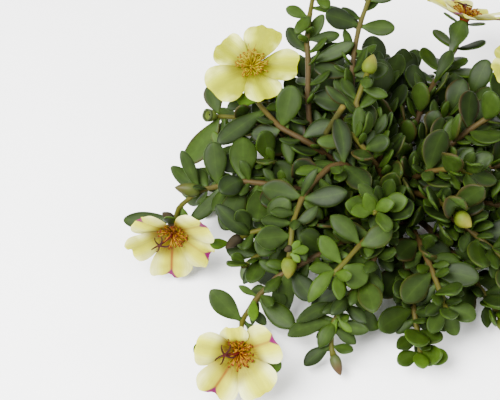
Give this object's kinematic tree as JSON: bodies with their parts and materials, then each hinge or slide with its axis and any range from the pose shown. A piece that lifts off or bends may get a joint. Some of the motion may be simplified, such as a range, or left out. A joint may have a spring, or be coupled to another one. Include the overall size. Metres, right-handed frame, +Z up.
{
  "type": "portulaca plant",
  "caption": "Low sprawling flowering plant with fleshy rounded leaves on trailing stems and cup-shaped blooms, cut at its crown and laid on a flat surface.",
  "frame": {"origin": "middle of the crown's flat cut underside, on the surface that the plant lies on", "axes": "+Z up out of the crown, -Y toward the side seen in the reference view, with the mound's left trailing blooms toward -X"},
  "size_m": [0.2102, 0.2056, 0.0822],
  "materials": {
    "old_wood": "matt woody stem, brown with fine rings",
    "foliage": "fleshy leaf, satin, mid to dark green with a paler rim; stems olive to brown",
    "petal_lemon": "soft satin petal, lemon yellow with deeper middle",
    "petal_cream": "soft satin petal, cream with magenta tip and orange flush",
    "stamen_gold": "matt orange-gold threads",
    "style_maroon": "satin maroon"
  },
  "bodies": {
    "root": {"crown": "old_wood", "stem_top_bloom": "foliage", "stem_capsule": "foliage", "stem_left_bloom": "foliage", "stem_dark_bud": "foliage", "stem_front_bloom": "foliage", "stem_front_bud": "foliage", "stem_green_bud": "foliage", "stem_front_rosette": "foliage", "stem_tall_left": "foliage", "stem_tall_right": "foliage", "stem_tall_green": "foliage", "stem_middle": "foliage", "stem_front_middle": "foliage", "stem_left_low": "foliage", "stem_left_middle": "foliage", "stem_right_bloom": "foliage", "stem_back_bloom": "foliage", "stem_far_right_bloom": "foliage", "stem_01": "foliage", "stem_02": "foliage", "stem_03": "foliage", "stem_04": "foliage", "stem_05": "foliage", "stem_06": "foliage", "stem_07": "foliage", "stem_08": "foliage", "stem_10": "foliage", "stem_11": "foliage", "stem_12": "foliage", "stem_13": "foliage", "stem_14": "foliage", "stem_15": "foliage", "stem_16": "foliage", "stem_17": "foliage", "stem_18": "foliage", "stem_19": "foliage", "stem_20": "foliage", "stem_21": "foliage", "stem_22": "foliage", "stem_23": "foliage", "bloom_top_petals": "petal_lemon", "bloom_top_stamens": "stamen_gold", "bloom_top_style": "style_maroon", "bloom_left_petals": "petal_cream", "bloom_left_stamens": "stamen_gold", "bloom_left_style": "style_maroon", "bloom_front_petals": "petal_cream", "bloom_front_stamens": "stamen_gold", "bloom_front_style": "style_maroon", "bloom_right_petals": "petal_cream", "bloom_right_stamens": "stamen_gold", "bloom_right_style": "style_maroon", "bloom_back_petals": "petal_cream", "bloom_back_stamens": "stamen_gold", "bloom_back_style": "style_maroon", "bloom_far_right_petals": "petal_lemon", "bloom_far_right_stamens": "stamen_gold", "bloom_far_right_style": "style_maroon"}
  },
  "joints": []
}
